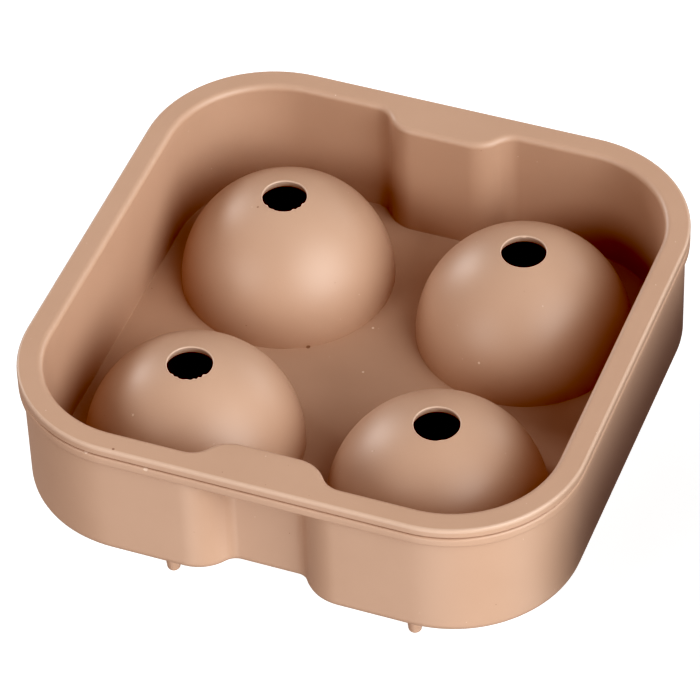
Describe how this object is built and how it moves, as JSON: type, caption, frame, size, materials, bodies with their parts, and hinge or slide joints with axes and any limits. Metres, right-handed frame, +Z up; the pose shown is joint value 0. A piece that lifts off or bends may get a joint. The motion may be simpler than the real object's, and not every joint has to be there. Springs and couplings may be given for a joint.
{
  "type": "ice ball mould",
  "caption": "Square two-piece silicone mould: an upper tray with domes and fill holes nests in a lower tub with half-round cups to freeze round ice balls.",
  "frame": {"origin": "centre of the square plan, on the surface that the feet stand on", "axes": "+Z up, along the way the upper half lifts off; +X to the right; the finger notches are in the -Y and +Y sides"},
  "size_m": [0.13, 0.13, 0.055],
  "materials": {
    "upper_silicone": "matte tan silicone",
    "lower_silicone": "matte tan silicone"
  },
  "bodies": {
    "tub": {"lower_half": "lower_silicone"},
    "tray": {"upper_half": "upper_silicone"}
  },
  "joints": [
    {"name": "tray_lift", "type": "slide", "parent": "tub", "child": "tray", "axis": [0, 0, 1], "range_m": [0, 0.06]}
  ]
}
